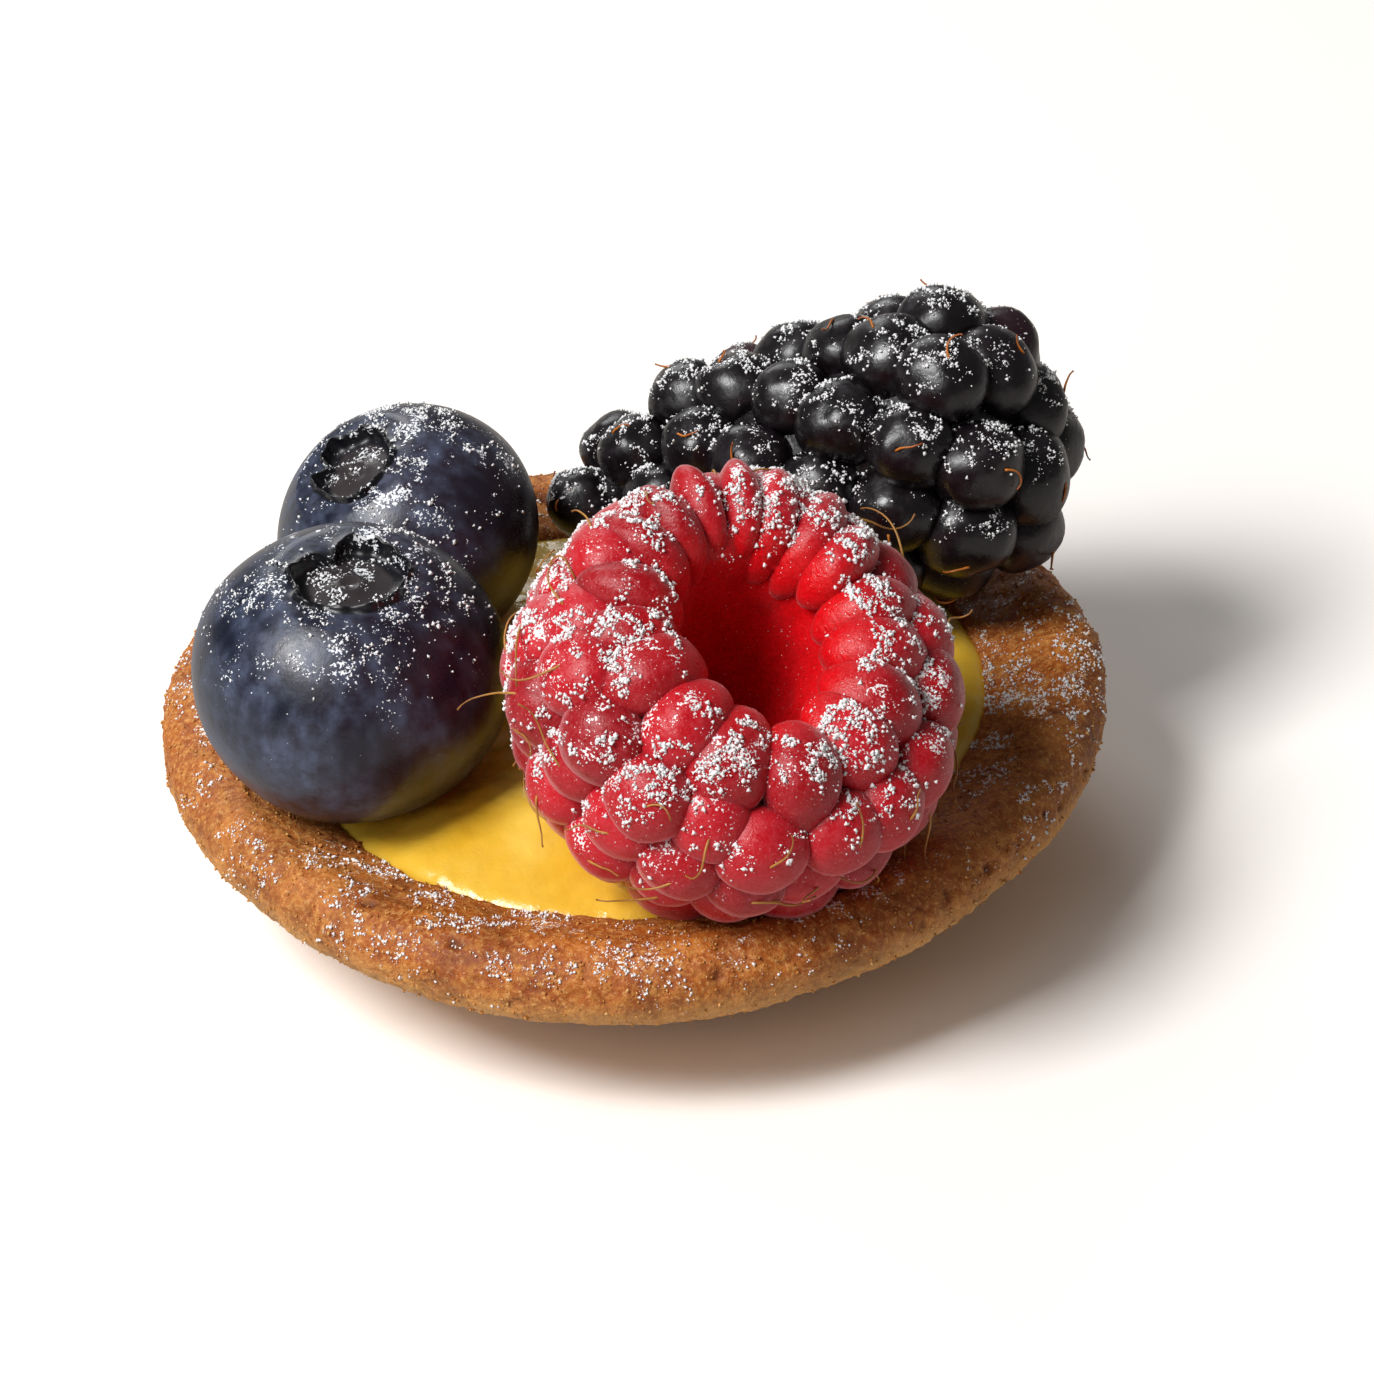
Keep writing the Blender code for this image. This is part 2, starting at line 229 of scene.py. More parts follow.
def spread(tree, source, low, high, to_low=0.0, to_high=1.0):
    """Maps a range of a value on to another range, clamped."""
    made = node(
        tree,
        "MapRange",
        {"clamp": True},
        {"From Min": low, "From Max": high, "To Min": to_low, "To Max": to_high},
        {"Value": source},
    )
    return made.outputs["Result"]


def sugar_speckle(tree, cover, thin=0.78):
    """White specks of the finest sugar where cover is high: a factor from 0 to 1; a lower thin gives more."""
    specks = noise_at(tree, 0.15, 2.0, 0.6, 0.31)
    drifts = noise_at(tree, 1.3, 2.0, 0.5, 0.77)
    patchy = spread(tree, drifts, 0.42, 0.62)
    laid = node(tree, "Math", {"operation": "MULTIPLY"}, links={0: cover, 1: patchy})
    limit = node(tree, "Math", {"operation": "MULTIPLY_ADD"}, {1: -0.30, 2: thin}, {0: laid.outputs[0]})
    above = node(tree, "Math", {"operation": "SUBTRACT"}, links={0: specks, 1: limit.outputs[0]})
    return spread(tree, above.outputs[0], 0.0, 0.03)


def shortcrust():
    """Baked shortcrust: dull golden-brown crumb, browner where it caught the heat, with sugar on it, painted
    light on its raised grains and painted shade in its pits.
    """
    made, tree, shader = new_material("shortcrust_baked")
    relief = stored(tree, "relief")
    toast = stored(tree, "toast")
    sugared = stored(tree, "sugared")
    patches = noise_at(tree, 3.2, 4.0, 0.6)
    pale = ramp(tree, patches, [(0.3, "#d29450"), (0.5, "#e2ab64"), (0.7, "#efc07c")])
    brown = ramp(tree, patches, [(0.3, "#8c3f0c"), (0.5, "#a55212"), (0.7, "#bd6a1c")])
    body = mixed(tree, toast, pale, brown)
    crumb = noise_at(tree, 0.45, 3.0, 0.65, 0.13)
    body = mixed(tree, spread(tree, crumb, 0.46, 0.66, 0.0, 0.5), body, "#dc9b4c")
    body = mixed(tree, spread(tree, crumb, 0.30, 0.44, 0.35, 0.0), body, "#7c3c0f")
    # Painted light: raised grains of the relief are lightened.
    body = mixed(tree, spread(tree, relief, 0.05, 0.25, 0.0, 0.35), body, "#d9984c")
    fine = noise_at(tree, 0.24, 3.0, 0.7, 0.52)
    body = mixed(tree, spread(tree, fine, 0.54, 0.66, 0.0, 0.5), body, "#efbb74")
    body = mixed(tree, spread(tree, fine, 0.32, 0.44, 0.45, 0.0), body, "#6e330c")
    # Painted shade: pits and low parts of the relief are darkened.
    body = mixed(tree, spread(tree, relief, -0.34, -0.02, 0.8, 0.0), body, "#5f2a0a")
    dust = sugar_speckle(tree, sugared)
    colour = mixed(tree, dust, body, "#f4efe8")
    tree.links.new(colour, shader.inputs["Base Color"])
    tree.links.new(spread(tree, crumb, 0.3, 0.7, 0.48, 0.78), shader.inputs["Roughness"])
    shader.inputs["IOR"].default_value = 1.45
    let_light_in(shader, 0.08, (1.0, 0.5, 0.25), 0.001)
    under = bumped(tree, fine, 0.6, 0.00014)
    tree.links.new(bumped(tree, crumb, 0.5, 0.0002, under), shader.inputs["Normal"])
    return made


def build_case():
    nose = (RIM_RADIUS - RIM_ROUNDING, RIM_CENTRE_HEIGHT)
    rim = arc(nose, RIM_ROUNDING, RIM_INNER_DEG, RIM_OUTER_DEG, 36)
    floor = (FLOOR_RADIUS, FLOOR_HEIGHT)
    inner = bezier(floor, (14.6, FLOOR_HEIGHT + 1), CUSTARD_EDGE, 8)
    slope = np.linspace(CUSTARD_EDGE, rim[0], 14)[1:-1]
    wall = sagging_wall(rim[-1], (BASE_RADIUS, 0), WALL_ARC_RADIUS, 46)[1:]
    base = np.array([(BASE_RADIUS * 0.7, 0.0), (BASE_RADIUS * 0.35, 0.0), (0.05, 0.0)])
    profile = np.vstack([[(0.05, FLOOR_HEIGHT)], inner, slope, rim, wall, base])
    columns = CASE_COLUMNS
    angles = np.linspace(0, 2 * np.pi, columns, endpoint=False)
    r = profile[:, :1] * hand_pressed(angles)[None, :]
    points = np.dstack([r * np.cos(angles), r * np.sin(angles), np.repeat(profile[:, 1:], columns, 1)])
    normals = grid_normals(points)
    if (normals[RIM_ROW] * points[RIM_ROW]).sum() < 0:
        normals = -normals
    flat = points.reshape(-1, 3)
    lift = np.array([crumbly_relief(p) for p in flat]).reshape(points.shape[:2])
    shown = np.clip((points[:, :, 2] - 0.05) / 0.8, 0, 1)
    hidden = profile[:, 0] < CUSTARD_EDGE[0] - 0.4
    hidden[RIM_ROW:] = False
    shown[hidden] = 0
    moved = points + normals * (lift * shown)[:, :, None]
    moved[:, :, 2] = np.maximum(moved[:, :, 2], 0)
    piece = new_piece("case_crust", moved.reshape(-1, 3), grid_faces(len(profile), columns))
    paint(piece, "relief", (lift * shown).ravel())
    height = points[:, :, 2]
    outside = np.clip((np.hypot(points[:, :, 0], points[:, :, 1]) / hand_pressed(angles) - 20.5) / 2.2, 0, 1)
    toast = np.clip(1 - outside * np.clip((8.3 - height) / 2.2, 0, 1), 0, 1)
    toast[height < 6] = 0
    paint(piece, "toast", np.clip(toast + 0.12 * np.sin(3 * angles)[None, :], 0, 1).ravel())
    facing_up = np.clip(normals[:, :, 2], 0, 1) ** 2
    patchy = np.array([noise.noise(Vector(p) / 5.0 + Vector((2, 2, 2))) for p in flat]).reshape(height.shape)
    paint(piece, "sugared", (facing_up * np.clip(0.35 + 1.6 * patchy, 0, 1)).ravel())
    return piece


crust = build_case()
crust.data.materials.append(shortcrust())
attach(crust, "root")
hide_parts("pastry_case")


# ---------------------------------------------------------------- where the fruit lies
# Two blueberries, a raspberry with its hollow open to the front, and a bramble on its side.
# Each is set on the custard by a listed centre, the direction of its top, and its size.

GOLDEN_ANGLE = math.pi * (3 - math.sqrt(5))
BLUEBERRIES = {
    "blueberry_front": {
        "centre": (-13.4, -5.6, 15.6),
        "up": (0.06, -0.12, 1.0),
        "radius": 7.7,
        "half_height": 6.9,
        "notch": 1.55,
    },
    "blueberry_back": {
        "centre": (-10.75, 8.9, 14.1),
        "up": (-0.45, -0.15, 0.88),
        "radius": 6.7,
        "half_height": 6.1,
        "notch": 4.0,
    },
}
RASPBERRY_CENTRE = (4.7, -13.0, 17.6)
RASPBERRY_UP = (0.33, -0.50, 0.80)
RASPBERRY_RINGS = (  # ring radius, height above the centre, number of drupelets, drupelet radius
    (6.4, 4.9, 17, 1.6),
    (8.6, 3.4, 17, 2.0),
    (9.1, 0.9, 18, 1.95),
    (8.8, -1.7, 17, 1.95),
    (7.7, -4.2, 14, 1.95),
    (5.8, -6.4, 11, 1.85),
    (3.0, -7.7, 6, 1.8),
    (0.1, -8.2, 1, 1.6),
)
HOLLOW_OFFSET = (0.20, 0.70)  # how far the hollow lies off the berry's axis
CREST_FRONT = 4.45  # where round the rim the drupelets are widest, in radians
CREST_SPREAD, CREST_BREADTH, CREST_LIFT = 0.30, 0.26, 0.45
RIM_FOLD_LENGTH, RIM_FOLD_HEIGHT = 2.75, 1.75
RIM_FOLD_ARCH = 0.10
BRAMBLE_TIP = (-1.2, 13.7, 11.8)
BRAMBLE_END = (17.3, 8.4, 18.2)
BRAMBLE_CORE_RADII = (1.9, 5.5)
BRAMBLE_WIDEST = 0.75
BRAMBLE_TIP_CAP, BRAMBLE_END_CAP = 1.8, 3.0
BRAMBLE_DRUPELETS = 56
BRAMBLE_DRUPELET_RADII = (1.85, 2.35)


def frame_at(up):
    """Columns of the axes that put Z along up."""
    return np.array(Vector(up).normalized().to_track_quat("Z", "Y").to_matrix())


def drupelet(centre, outward, toward, along, across, out, tint, row=0, arch=0.0):
    """One drupelet: an ovoid with half widths along, across and outward; arch bends its two ends down."""
    z = np.array(outward, float)
    z /= np.linalg.norm(z)
    x = np.array(toward, float) - z * np.dot(toward, z)
    x /= np.linalg.norm(x)
    axes = np.column_stack([x, np.cross(z, x), z])
    return {
        "centre": np.array(centre, float),
        "axes": axes,
        "size": np.array([along, across, out]),
        "tint": tint,
        "row": row,
        "arch": arch,
    }


def settled(rng, amount):
    return rng.uniform(-amount, amount)


def rim_drupelet(rng, place, count, ring, centre, turn):
    """A drupelet folded over the rim of the hollow: broad at the front, narrow at the back."""
    radius, height, _, size = ring
    even = math.tau * (place + settled(rng, 0.12)) / count
    front = math.cos(even - CREST_FRONT)
    angle = even + CREST_SPREAD * math.sin(even - CREST_FRONT)
    spoke = np.array([math.cos(angle), math.sin(angle), 0])
    drawn = radius * (1 + 0.06 * math.cos(2 * (angle - CREST_FRONT)) + settled(rng, 0.03))
    lifted = height + CREST_LIFT * front + settled(rng, 0.25)
    local = spoke * drawn + np.array([*HOLLOW_OFFSET, lifted])
    outward = turn @ (spoke * (0.40 * front - 0.05) + np.array([0, 0, 1]))
    grow = 1 + settled(rng, 0.08)
    wide = size * grow * (1 + CREST_BREADTH * front)
    long = RIM_FOLD_LENGTH * grow
    middle = centre + turn @ local
    shape = (long, wide, RIM_FOLD_HEIGHT)
    return drupelet(middle, outward, turn @ spoke, *shape, rng.random(), 0, RIM_FOLD_ARCH)


def raspberry_drupelets():
    """Rings of overlapping drupelets; the top ring folds over the rim of the hollow."""
    rng = np.random.default_rng(4)
    turn = frame_at(RASPBERRY_UP)
    centre = np.array(RASPBERRY_CENTRE)
    found = []
    for row, ring in enumerate(RASPBERRY_RINGS):
        radius, height, count, size = ring
        for place in range(count):
            if row == 0:
                found.append(rim_drupelet(rng, place, count, ring, centre, turn))
                continue
            angle = math.tau * (place + 0.5 * (row % 2) + settled(rng, 0.14)) / count
            spoke = np.array([math.cos(angle), math.sin(angle), 0])
            local = spoke * radius * (1 + settled(rng, 0.03)) + np.array([0, 0, height + settled(rng, 0.4)])
            wide = size * (1 + settled(rng, 0.13))
            outward = turn @ np.array([local[0], local[1], 1.15 * height + 2.2])
            lower = turn @ (np.array([0, 0, -1.0]) - spoke * 0.4 * (row > 5))
            middle = centre + turn @ local
            shape = (1.1 * wide, 1.15 * wide, 0.88 * wide)
            found.append(drupelet(middle, outward, lower, *shape, rng.random(), row))
    return found


def bramble_core_radius(along, length):
    narrow, wide = BRAMBLE_CORE_RADII
    if along < 0:
        return narrow * math.sqrt(max(0, 1 - (along / BRAMBLE_TIP_CAP) ** 2))
    if along > length:
        return wide * math.sqrt(max(0, 1 - ((along - length) / BRAMBLE_END_CAP) ** 2))
    share = min(1, along / length / BRAMBLE_WIDEST)
    return narrow + (wide - narrow) * math.sin(share * math.pi / 2) ** 0.85


def spiral_places(radius_at, low, high, count):
    """Evenly spread places (distance along, angle) on a body of revolution, along the golden spiral."""
    slices = 400
    area = [0.0]
    step = (high - low) / slices
    for i in range(slices):
        here, there = radius_at(low + i * step), radius_at(low + (i + 1) * step)
        area.append(area[-1] + (here + there) / 2 * math.hypot(step, there - here))
    places = []
    i = 0
    for number in range(count):
        wanted = area[-1] * (number + 0.5) / count
        while area[i + 1] < wanted:
            i += 1
        along = low + (i + (wanted - area[i]) / (area[i + 1] - area[i])) * step
        places.append((along, number * GOLDEN_ANGLE))
    return places


def bramble_drupelets():
    """Drupelets on a golden spiral round the core, from the tip to the stem end."""
    rng = np.random.default_rng(8)
    tip, end = Vector(BRAMBLE_TIP), Vector(BRAMBLE_END)
    length = (end - tip).length
    turn = frame_at(end - tip)

    def radius_at(along):
        return bramble_core_radius(along, length)

    found = []
    small, large = BRAMBLE_DRUPELET_RADII
    low, high = -BRAMBLE_TIP_CAP, length + BRAMBLE_END_CAP
    for along, angle in spiral_places(radius_at, low, high, BRAMBLE_DRUPELETS):
        share = min(1, max(0, along / length))
        size = (small + (large - small) * share) * (1 + settled(rng, 0.08))
        slope = (radius_at(along + 0.2) - radius_at(along - 0.2)) / 0.4
        outward = np.array([math.cos(angle), math.sin(angle), -max(-3, min(3, slope))])
        radius = radius_at(along)
        local = np.array([radius * math.cos(angle), radius * math.sin(angle), along])
        middle = np.array(BRAMBLE_TIP) + turn @ (local + rng.normal(size=3) * 0.14)
        lower = turn @ np.array([0.2, 0.1, -1.0])
        shape = (size * 1.04, size * 0.98, size * 0.97)
        found.append(drupelet(middle, turn @ outward, lower, *shape, rng.random()))
    return found


raspberry_parts = raspberry_drupelets()
bramble_parts = bramble_drupelets()


# ---------------------------------------------------------------- custard
# Set egg custard, poured into the case and filled to the top of its inner slope.
# It is glossy and slightly wrinkled, domed in the middle, and swells up a little round each berry.

CUSTARD_RISE = 1.0


def berry_bodies():
    """The fruit as ovoids (centre, axes, half sizes), for the custard to lie against."""
    bodies = []
    for size in BLUEBERRIES.values():
        half = np.array([size["radius"], size["radius"], size["half_height"]])
        bodies.append((np.array(size["centre"]), frame_at(size["up"]), half))
    for part in raspberry_parts + bramble_parts:
        bodies.append((part["centre"], part["axes"], part["size"]))
    return bodies


def custard_top(x, y):
    """Heights of the custard's surface over flat arrays x and y, and how near each point is to fruit."""
    angle = np.arctan2(y, x)
    share = np.hypot(x, y) / ((CUSTARD_EDGE[0] - 0.05) * hand_pressed(angle))
    waves = np.array([noise.noise(Vector((a, b, 0)) / 5.0) for a, b in zip(x, y)])
    small = np.array([noise.noise(Vector((a, b, 3)) / 1.3) for a, b in zip(x, y)])
    wrinkles = np.array([noise.noise(Vector((a, b, 7)) / 0.55) for a, b in zip(x, y)])
    z = CUSTARD_EDGE[1] + CUSTARD_RISE * (1 - share**2) + 0.22 * waves + 0.13 * small + 0.03 * wrinkles
    z = z + 1.3 * np.exp(-(((x + 5.2) / 5.5) ** 2) - ((y + 9.6) / 3.6) ** 2)
    z = z - 0.35 * np.clip((share - 0.955) / 0.045, 0, 1) ** 2
    near = np.full(len(x), 9.0)
    floor = np.full(len(x), 99.0)
    for centre, axes, half in berry_bodies():
        size = half.mean()
        offset = np.c_[x, y, z] - centre
        reach = np.linalg.norm((offset @ axes) / half, axis=1)
        near = np.minimum(near, (reach - 1) * size)
        # Underside of the ovoid over each point: solve the quadratic in height.
        shape = axes @ np.diag(1 / half**2) @ axes.T
        dx, dy = x - centre[0], y - centre[1]
        a = shape[2, 2]
        b = 2 * (shape[0, 2] * dx + shape[1, 2] * dy)
        c = shape[0, 0] * dx**2 + shape[1, 1] * dy**2 + 2 * shape[0, 1] * dx * dy - 1
        root = b**2 - 4 * a * c
        under = centre[2] + (-b - np.sqrt(np.maximum(root, 0))) / (2 * a)
        floor = np.where(root > 0, np.minimum(floor, under - 0.05), floor)
    z = z + 0.30 * np.exp(-((np.maximum(near, 0) / 0.55) ** 2)) * (share < 0.985)
    return np.minimum(z, floor), near


def custard_cream():
    """Set egg custard: saturated yellow, wet and softly glossy, a little see-through at its edges, with
    painted shade that darkens it next to the fruit.
    """
    made, tree, shader = new_material("custard_set")
    patches = noise_at(tree, 4.5, 3.0, 0.5)
    body = ramp(tree, patches, [(0.3, "#e2ae2a"), (0.5, "#eabb3e"), (0.7, "#f2cc5c")])
    near = stored(tree, "near_fruit")
    # Painted shade: the custard darkens to deep orange close to each berry.
    body = mixed(tree, spread(tree, near, 0.0, 0.6, 0.3, 0.0), body, "#d99a12")
    tree.links.new(body, shader.inputs["Base Color"])
    wet = noise_at(tree, 1.1, 3.0, 0.6, 0.4)
    tree.links.new(spread(tree, wet, 0.3, 0.7, 0.10, 0.28), shader.inputs["Roughness"])
    shader.inputs["IOR"].default_value = 1.45
    let_light_in(shader, 0.2, (1.0, 0.6, 0.1), 0.002)
    skin = noise_at(tree, 0.9, 3.0, 0.5, 0.2)
    tree.links.new(bumped(tree, skin, 0.5, 0.0002), shader.inputs["Normal"])
    return made


def build_custard():
    columns = 420
    angles = np.linspace(0, 2 * np.pi, columns, endpoint=False)
    shares = np.linspace(0.003, 1, 84)
    edge = (CUSTARD_EDGE[0] - 0.05) * hand_pressed(angles)
    x = (shares[:, None] * edge[None, :] * np.cos(angles)).ravel()
    y = (shares[:, None] * edge[None, :] * np.sin(angles)).ravel()
    z, near = custard_top(x, y)
    top = np.c_[x, y, z]
    rings = []
    for radius, height in ((16.4, 6.6), (14.0, 5.0), (9.0, 3.6), (0.05, 3.5)):
        around = radius * hand_pressed(angles)
        rings.append(np.c_[around * np.cos(angles), around * np.sin(angles), np.full(columns, height)])
    points = np.vstack([top, *rings])
    piece = new_piece("custard_filling", points, grid_faces(len(shares) + len(rings), columns))
    paint(piece, "near_fruit", np.r_[near, np.full(columns * len(rings), 9.0)])
    return piece


custard = build_custard()
custard.data.materials.append(custard_cream())
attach(custard, "root")
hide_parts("custard")


# ---------------------------------------------------------------- blueberries
# Ripe blueberries: firm, round, a little flattened, with the open five-lobed crown of the old flower on top.
# A pale blue wax bloom covers the dark skin and is rubbed thin in places; it is laid on thicker towards the
# left and the bottom, and on the left that is painted light.

CROWN_LOBES = 5


def blueberry_skin(name):
    """Blueberry skin: nearly black-blue, with a hazy blue-grey wax that softens its shine; the wax is painted
    thicker on the left as painted light, a plum tint on the right and front is painted shade, and the crown's
    rim is painted near black as shade.
    """
    made, tree, shader = new_material("blueberry_skin_" + name)
    wax_and_painted_light = stored(tree, "wax_and_painted_light")
    plum_and_painted_shade = stored(tree, "plum_and_painted_shade")
    crown = stored(tree, "crown")
    # The plum tint is painted shade on the right and front side, mixed with random patches.
    skin = mixed(tree, plum_and_painted_shade, "#0f1424", "#23131b")
    mottle = spread(tree, noise_at(tree, 1.1, 5.0, 0.7), 0.36, 0.64, 0.25, 1.25)
    # The haze carries painted light: it is thicker on the left, the lamp side.
    wax_haze_and_painted_light = node(tree, "Math", {"operation": "MULTIPLY"}, links={0: wax_and_painted_light, 1: mottle})
    body = mixed(tree, wax_haze_and_painted_light.outputs[0], skin, "#535d76")
    # Painted shade: the crown's rim and lobes are painted near black; its floor takes the dried scar's own
    # brown-grey.
    scar_and_painted_shade = ramp(tree, crown, [(0.45, "#0b0c11"), (0.75, "#15141a"), (0.95, "#352f30")])
    body = mixed(tree, spread(tree, crown, 0.05, 0.35), body, scar_and_painted_shade)
    dust = sugar_speckle(tree, stored(tree, "sugared"))
    body = mixed(tree, dust, body, "#eceef2")
    tree.links.new(body, shader.inputs["Base Color"])
    tree.links.new(spread(tree, wax_haze_and_painted_light.outputs[0], 0.0, 0.8, 0.27, 0.48), shader.inputs["Roughness"])
    shader.inputs["IOR"].default_value = 1.45
    fine = noise_at(tree, 0.35, 3.0, 0.6, 0.7)
    tree.links.new(bumped(tree, fine, 0.18, 0.0001), shader.inputs["Normal"])
    return made


def build_blueberry(name, size, seed):
    """Skin from the middle of the crown's hollow, over its lobed rim, and round to the bottom."""
    wide, tall = size["radius"], size["half_height"]
    columns = 200
    angles = np.linspace(0, 2 * np.pi, columns, endpoint=False)
    unit = wide / 7.7
    shoulder = 3.8 * unit
    level = tall * math.sqrt(1 - (shoulder / wide) ** 2)
    # Radius, height over the shoulder, and how much of the lobes' shape each ring takes.
    crown = [
        (0.02, -0.50, 0.0), (0.35, -0.48, 0.0), (0.52, -0.36, 0.0), (0.72, -0.50, 0.0), (1.3, -0.62, 0.1),
        (1.9, -0.62, 0.3), (2.5, -0.66, 0.7), (2.72, -0.45, 0.9), (2.80, -0.05, 1.0), (2.83, 0.22, 1.0),
        (2.88, 0.32, 1.0), (2.94, 0.32, 1.0), (3.00, 0.22, 1.0), (3.05, 0.11, 0.9), (3.14, 0.05, 0.6),
        (3.3, 0.03, 0.3), (3.55, 0.01, 0.1), (3.8, 0.0, 0.0),
    ]
    lobes = np.cos(CROWN_LOBES * (angles - size["notch"]))
    notch = np.exp(-((np.angle(np.exp(1j * (angles - size["notch"]))) / 0.22) ** 2))
    uneven = np.array([noise.noise(Vector((math.cos(a) * 1.6, math.sin(a) * 1.6, seed))) for a in angles])
    crisp = np.array([noise.noise(Vector((math.cos(a) * 4, math.sin(a) * 4, seed + 5))) for a in angles])
    rows = []
    for radius, rise, lobed in crown:
        factor = 1 + lobed * (-0.05 * lobes + 0.16 * uneven + 0.07 * crisp - 0.30 * notch)
        lift = rise + lobed * max(rise, 0) * (1.2 * uneven + 0.9 * crisp - 0.2 * lobes - 0.6 * notch)
        x = radius * unit * factor * np.cos(angles)
        y = radius * unit * factor * np.sin(angles) * (1 - 0.14 * lobed)
        rows.append(np.c_[x, y, level + lift * unit])
    first = math.acos(shoulder / wide)
    for angle in np.linspace(first, -math.pi / 2 + 0.004, 92)[1:]:
        r, h = wide * math.cos(angle), tall * math.sin(angle)
        rows.append(np.c_[r * np.cos(angles), r * np.sin(angles), np.full(columns, h)])
    points = np.array(rows)
    flat = points.reshape(-1, 3)
    swell = np.array([noise.noise(Vector(p) / 6.0 + Vector((seed, 0, 0))) for p in flat])
    flat = flat * (1 + 0.018 * swell[:, None])
    world = flat @ frame_at(size["up"]).T + np.array(size["centre"])
    piece = new_piece(name + "_skin", world, grid_faces(len(points), columns))
    rings = len(crown)
    inside = np.zeros(points.shape[:2])
    inside[:6] = 1
    inside[6 : rings - 4] = 0.5
    paint(piece, "crown", inside.ravel())
    outward = flat / np.linalg.norm(flat, axis=1, keepdims=True)
    turned = outward @ frame_at(size["up"]).T
    cloud = np.array([noise.fractal(Vector(p) / 3.2 + Vector((seed, 3, 1)), 0.9, 2, 4) for p in flat])
    stripes = np.array([noise.noise(Vector((v[0] * 14, v[1] * 14, v[2] * 2.5 + seed))) for v in outward])
    # Painted light: more haze towards the left, the lamp side, and towards the bottom.
    side = -0.75 * turned[:, 0] - 0.35 * turned[:, 2]
    paint(piece, "wax_and_painted_light", np.clip(0.27 + 0.42 * cloud + 0.32 * stripes + 0.14 * side, 0.02, 1))
    # Painted shade: a plum tint set by direction towards the right and front, away from the lamp, with random
    # patches.
    paint(piece, "plum_and_painted_shade", np.clip(0.35 + 0.7 * turned[:, 0] - 0.3 * turned[:, 1] + 0.5 * cloud, 0, 1))
    paint(piece, "sugared", np.clip(turned[:, 2] * 0.9 + 0.5 * cloud, 0, 1))
    return piece


blueberries = []
for number, (name, size) in enumerate(BLUEBERRIES.items()):
    berry = build_blueberry(name, size, 3 + number)
    berry.data.materials.append(blueberry_skin(name))
    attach(berry, "root")
    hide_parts(name)
    blueberries.append(berry)


# ---------------------------------------------------------------- raspberry
# A picked raspberry: rings of soft, downy drupelets round a hollow where the white core was pulled out.
# It lies tilted with its hollow to the front, and its top ring of drupelets leans over the rim of the hollow.

RASPBERRY_HOLLOW = ((0.0, -4.5), (1.7, -4.2), (2.9, -1.8), (3.8, 1.5), (4.6, 4.4), (5.9, 5.6))


def ball(steps_around, steps_down):
    """Unit sphere as points and faces, with its poles on Z."""
    points = []
    for row in range(steps_down + 1):
        down = math.pi * min(max(row / steps_down, 0.004), 0.996)
        for column in range(steps_around):
            turn = math.tau * column / steps_around
            points.append((math.sin(down) * math.cos(turn), math.sin(down) * math.sin(turn), math.cos(down)))
    faces = grid_faces(steps_down + 1, steps_around)
    faces.append(tuple(range(steps_around)))
    faces.append(tuple(reversed([steps_down * steps_around + i for i in range(steps_around)])))
    return np.array(points), faces


def heap(parts, steps_around, steps_down, lumpy):
    """All drupelets as one set of points and faces, with each point's height on its drupelet and its tint."""
    unit, unit_faces = ball(steps_around, steps_down)
    points, faces, height, tint = [], [], [], []
    for number, part in enumerate(parts):
        shape = unit.copy()
        wobble = np.array([noise.noise(Vector(p) * 1.3 + Vector((number * 7.1, 0, 0))) for p in unit])
        shape = shape * (1 + lumpy * wobble)[:, None]
        dimple = np.exp(-(((1 - unit[:, 2]) / 0.012) ** 2)) * 0.035
        shape[:, 2] -= dimple
        local = shape * part["size"]
        local[:, 2] -= part["arch"] * local[:, 0] ** 2
        world = local @ part["axes"].T + part["centre"]
        faces += [tuple(i + number * len(unit) for i in f) for f in unit_faces]
        points.append(world)
        height.append(unit[:, 2])
        tint.append(np.full(len(unit), part["tint"]))
    return np.vstack(points), faces, np.concatenate(height), np.concatenate(tint)


def turned_core(profile, columns):
    """A closed solid of revolution from a profile (r, z), as points and faces."""
    angles = np.linspace(0, 2 * np.pi, columns, endpoint=False)
    rows = []
    for r, z in profile:
        wide = max(r, 0.01)
        rows.append(np.c_[wide * np.cos(angles), wide * np.sin(angles), np.full(columns, z)])
    return np.vstack(rows), grid_faces(len(profile), columns)


def point_normals(piece):
    """The normal at every point of a piece."""
    normals = np.zeros(len(piece.data.vertices) * 3, dtype=np.float32)
    piece.data.vertices.foreach_get("normal", normals)
    return normals.reshape(-1, 3)


